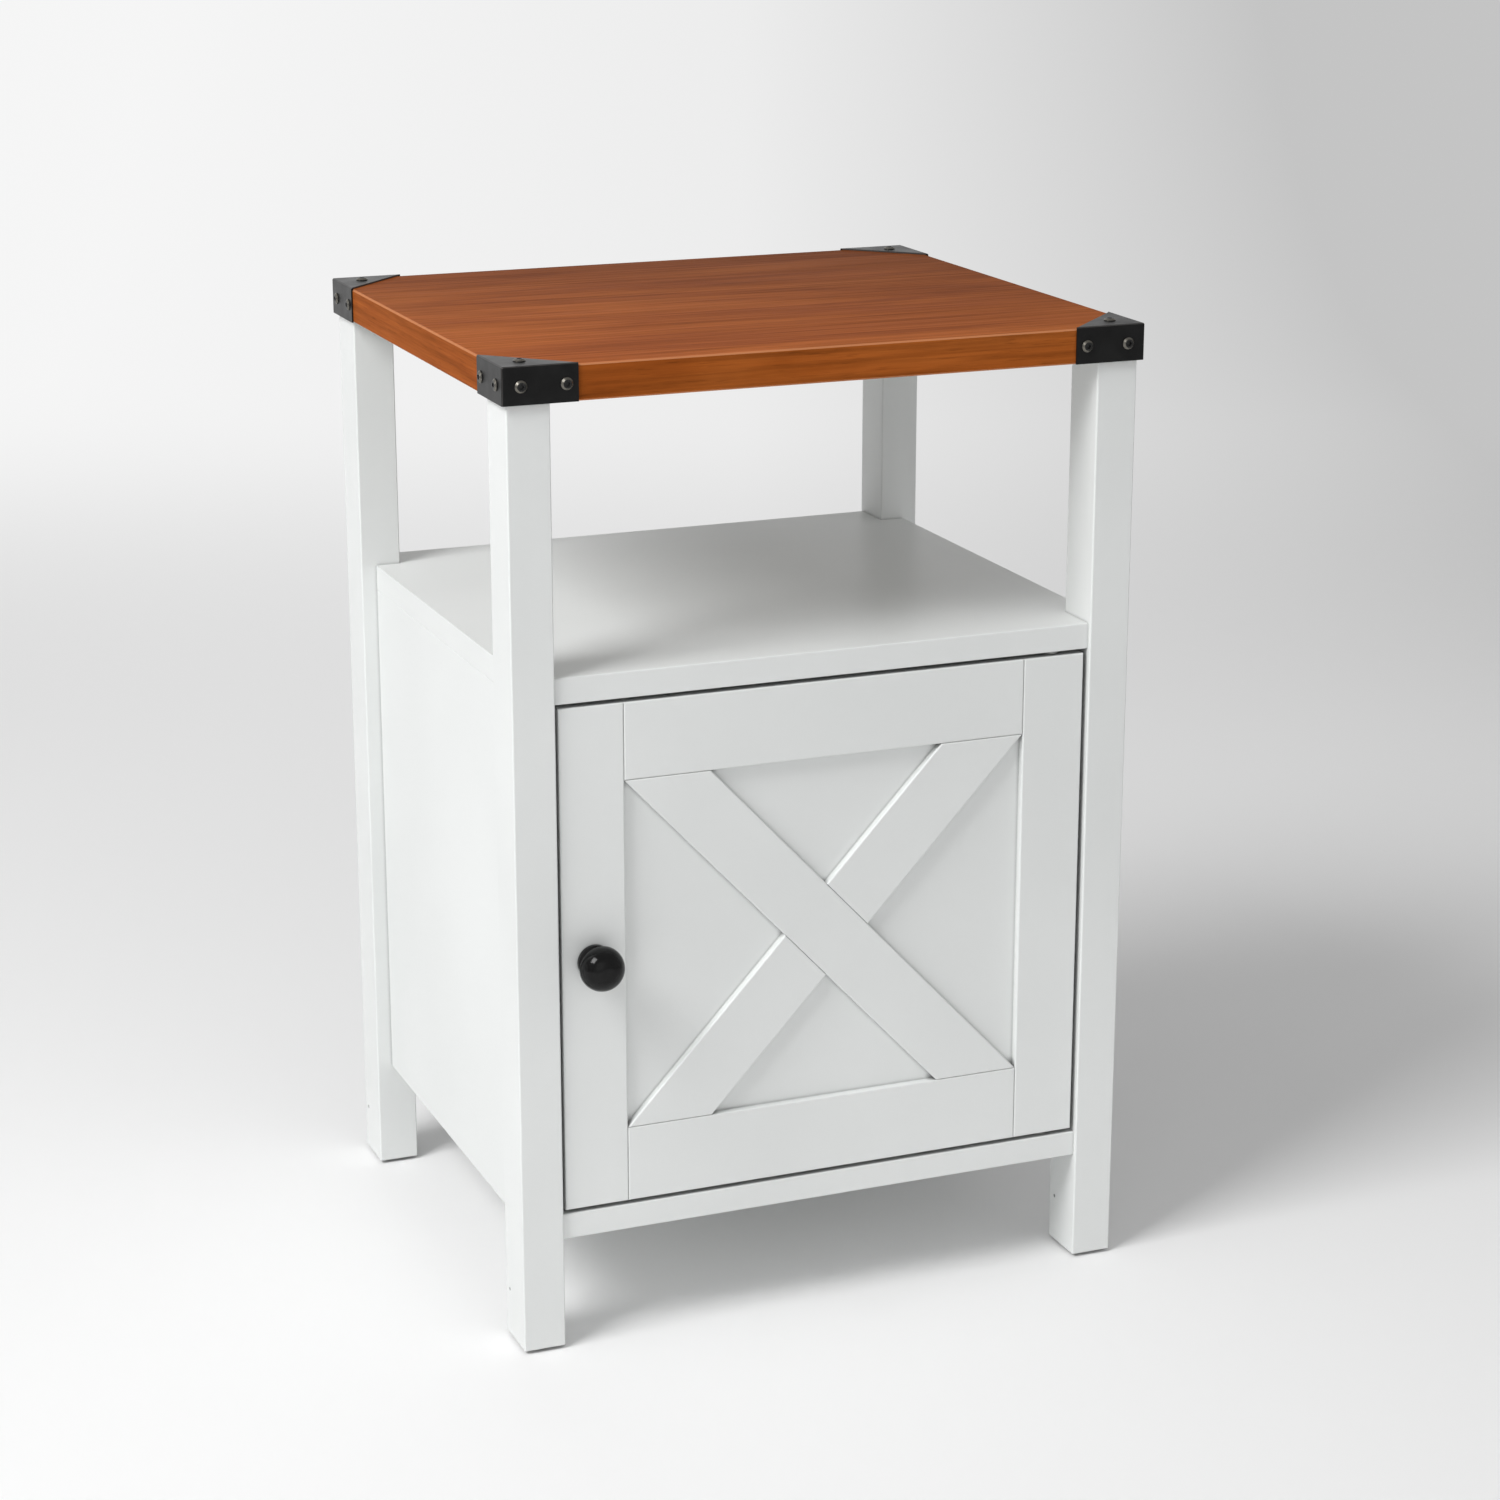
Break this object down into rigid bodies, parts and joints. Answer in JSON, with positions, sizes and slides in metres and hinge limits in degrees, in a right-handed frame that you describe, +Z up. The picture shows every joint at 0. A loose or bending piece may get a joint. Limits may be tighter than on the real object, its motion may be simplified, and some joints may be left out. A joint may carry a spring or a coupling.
{
  "type": "nightstand",
  "caption": "Farmhouse nightstand: wooden top with black corner brackets, open bay, and a white cabinet with a framed cross-braced swing door and round knob.",
  "frame": {"origin": "on the floor, at the centre of the whole piece's outline seen from above, knob included; the centre of the legs is 8.75 mm behind it", "axes": "+Z up; the door faces -Y; +X to the right as the user looks at the door"},
  "size_m": [0.403, 0.3704, 0.6015],
  "materials": {
    "wood_top": "reddish brown wood grain, satin",
    "black_steel": "satin black",
    "dark_nickel": "black over nickel plate, worn bright on the rims",
    "black_knob": "semi-gloss black",
    "white_paint": "smooth white satin paint",
    "glide_plastic": "matte",
    "zinc_steel": "zinc plated",
    "dowel_wood": "plain beech",
    "catch_plastic": "matte white",
    "magnet_black": "dull ferrite grey"
  },
  "bodies": {
    "cabinet": {"top_board": "wood_top", "corner_bracket_front_left": "black_steel", "corner_bracket_front_right": "black_steel", "corner_bracket_back_right": "black_steel", "corner_bracket_back_left": "black_steel", "bracket_screws": "dark_nickel", "leg_front_left": "white_paint", "leg_front_right": "white_paint", "leg_back_right": "white_paint", "leg_back_left": "white_paint", "shelf_panel": "white_paint", "bottom_panel": "white_paint", "side_panel_left": "white_paint", "side_panel_right": "white_paint", "back_panel": "white_paint", "leg_glide_front_left": "glide_plastic", "leg_glide_front_right": "glide_plastic", "leg_glide_back_right": "glide_plastic", "leg_glide_back_left": "glide_plastic", "cam_bolts": "zinc_steel", "cam_locks": "zinc_steel", "hinge_pin_upper": "zinc_steel", "hinge_pin_lower": "zinc_steel", "catch_screws": "zinc_steel", "leg_dowels": "dowel_wood", "panel_dowels": "dowel_wood", "catch_housing": "catch_plastic", "catch_magnet": "magnet_black"},
    "door": {"door_panel": "white_paint", "door_stile_left": "white_paint", "door_stile_right": "white_paint", "door_rail_bottom": "white_paint", "door_rail_top": "white_paint", "door_brace_long": "white_paint", "door_brace_upper": "white_paint", "door_brace_lower": "white_paint", "knob": "black_knob", "knob_screw": "zinc_steel", "hinge_bush_upper": "catch_plastic", "hinge_bush_lower": "catch_plastic", "strike_plate": "zinc_steel", "strike_screws": "zinc_steel"}
  },
  "joints": [
    {"name": "door_swing", "type": "hinge", "parent": "cabinet", "child": "door", "pos_m": [0.15026, -0.15125, 0.244], "axis": [0, 0, 1], "range_deg": [0, 110]}
  ]
}
